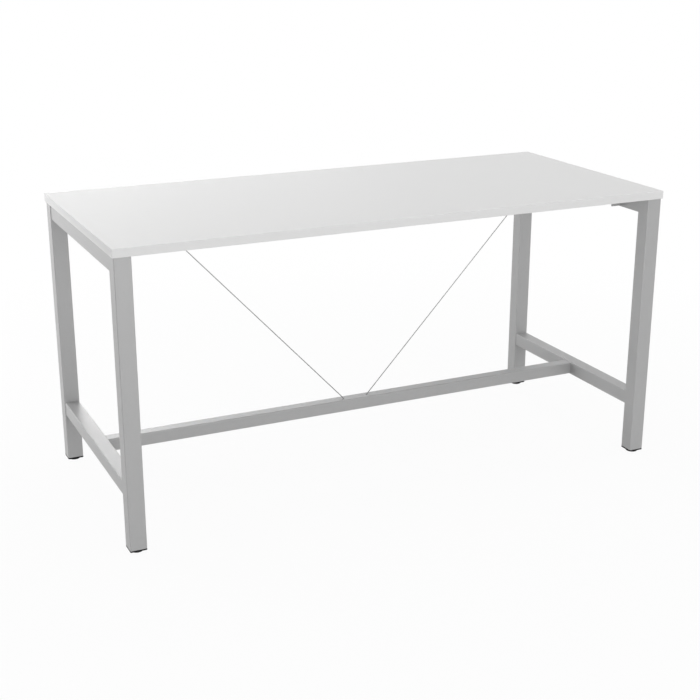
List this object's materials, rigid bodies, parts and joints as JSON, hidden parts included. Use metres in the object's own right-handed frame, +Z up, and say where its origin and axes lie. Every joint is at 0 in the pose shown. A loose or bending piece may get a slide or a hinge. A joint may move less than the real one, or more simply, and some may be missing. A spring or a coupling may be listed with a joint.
{
  "type": "standing meeting table",
  "caption": "Rectangular standing-height meeting table: banded board on square-tube end frames, joined by a low foot rail with a V brace of thin rods, on screw-adjusted levelling feet.",
  "frame": {"origin": "on the floor under the middle of the top", "axes": "+X along the top's length to the right, +Y to the back, +Z up"},
  "size_m": [1.8, 0.8, 0.9],
  "materials": {
    "laminate": "white melamine-faced board, fine matt grain",
    "edge_band": "white ABS edge band, satin",
    "silver_paint": "silver-grey powder coat, fine texture",
    "black_plastic": "black moulded plastic, fine spark texture",
    "zinc_steel": "bright zinc plate"
  },
  "bodies": {
    "frame": {"anchor_screw_left": "zinc_steel", "anchor_screw_right": "zinc_steel", "brace_anchor": "zinc_steel", "brace_bracket_left": "silver_paint", "brace_bracket_right": "silver_paint", "brace_nut_left": "zinc_steel", "brace_nut_right": "zinc_steel", "brace_rod_left": "silver_paint", "brace_rod_right": "silver_paint", "bracket_screw_back_left": "zinc_steel", "bracket_screw_back_right": "zinc_steel", "bracket_screw_front_left": "zinc_steel", "bracket_screw_front_right": "zinc_steel", "cleat_screw_back_left_1": "zinc_steel", "cleat_screw_back_left_2": "zinc_steel", "cleat_screw_back_right_1": "zinc_steel", "cleat_screw_back_right_2": "zinc_steel", "cleat_screw_front_left_1": "zinc_steel", "cleat_screw_front_left_2": "zinc_steel", "cleat_screw_front_right_1": "zinc_steel", "cleat_screw_front_right_2": "zinc_steel", "edge_band_back": "edge_band", "edge_band_front": "edge_band", "edge_band_left": "edge_band", "edge_band_right": "edge_band", "foot_rail": "silver_paint", "foot_rail_spigot_left": "silver_paint", "foot_rail_spigot_right": "silver_paint", "leg_back_left": "silver_paint", "leg_back_right": "silver_paint", "leg_cap_back_left": "black_plastic", "leg_cap_back_right": "black_plastic", "leg_cap_front_left": "black_plastic", "leg_cap_front_right": "black_plastic", "leg_front_left": "silver_paint", "leg_front_right": "silver_paint", "lower_rail_left": "silver_paint", "lower_rail_right": "silver_paint", "spigot_screw_left_1": "zinc_steel", "spigot_screw_left_2": "zinc_steel", "spigot_screw_right_1": "zinc_steel", "spigot_screw_right_2": "zinc_steel", "top_cleat_back_left": "silver_paint", "top_cleat_back_right": "silver_paint", "top_cleat_front_left": "silver_paint", "top_cleat_front_right": "silver_paint", "top_panel": "laminate", "upper_rail_left": "silver_paint", "upper_rail_right": "silver_paint"},
    "pad_front_left": {"foot_pad_front_left": "black_plastic"},
    "stud_front_left": {"foot_stud_front_left": "zinc_steel"},
    "pad_back_left": {"foot_pad_back_left": "black_plastic"},
    "stud_back_left": {"foot_stud_back_left": "zinc_steel"},
    "pad_front_right": {"foot_pad_front_right": "black_plastic"},
    "stud_front_right": {"foot_stud_front_right": "zinc_steel"},
    "pad_back_right": {"foot_pad_back_right": "black_plastic"},
    "stud_back_right": {"foot_stud_back_right": "zinc_steel"}
  },
  "joints": [
    {"name": "foot_height_front_left", "type": "slide", "parent": "frame", "child": "pad_front_left", "axis": [0, 0, -1], "range_m": [0, 0.012]},
    {"name": "foot_turn_front_left", "type": "hinge", "parent": "pad_front_left", "child": "stud_front_left", "pos_m": [-0.871, -0.371, 0.006], "axis": [0, 0, -1], "range_deg": [0, 3456]},
    {"name": "foot_height_back_left", "type": "slide", "parent": "frame", "child": "pad_back_left", "axis": [0, 0, -1], "range_m": [0, 0.012]},
    {"name": "foot_turn_back_left", "type": "hinge", "parent": "pad_back_left", "child": "stud_back_left", "pos_m": [-0.871, 0.371, 0.006], "axis": [0, 0, -1], "range_deg": [0, 3456]},
    {"name": "foot_height_front_right", "type": "slide", "parent": "frame", "child": "pad_front_right", "axis": [0, 0, -1], "range_m": [0, 0.012]},
    {"name": "foot_turn_front_right", "type": "hinge", "parent": "pad_front_right", "child": "stud_front_right", "pos_m": [0.871, -0.371, 0.006], "axis": [0, 0, -1], "range_deg": [0, 3456]},
    {"name": "foot_height_back_right", "type": "slide", "parent": "frame", "child": "pad_back_right", "axis": [0, 0, -1], "range_m": [0, 0.012]},
    {"name": "foot_turn_back_right", "type": "hinge", "parent": "pad_back_right", "child": "stud_back_right", "pos_m": [0.871, 0.371, 0.006], "axis": [0, 0, -1], "range_deg": [0, 3456]}
  ],
  "couplings": [
    {"joint": "foot_turn_front_left", "follows": "foot_height_front_left", "rad_per_m": 5026.5},
    {"joint": "foot_turn_back_left", "follows": "foot_height_back_left", "rad_per_m": 5026.5},
    {"joint": "foot_turn_front_right", "follows": "foot_height_front_right", "rad_per_m": 5026.5},
    {"joint": "foot_turn_back_right", "follows": "foot_height_back_right", "rad_per_m": 5026.5}
  ]
}
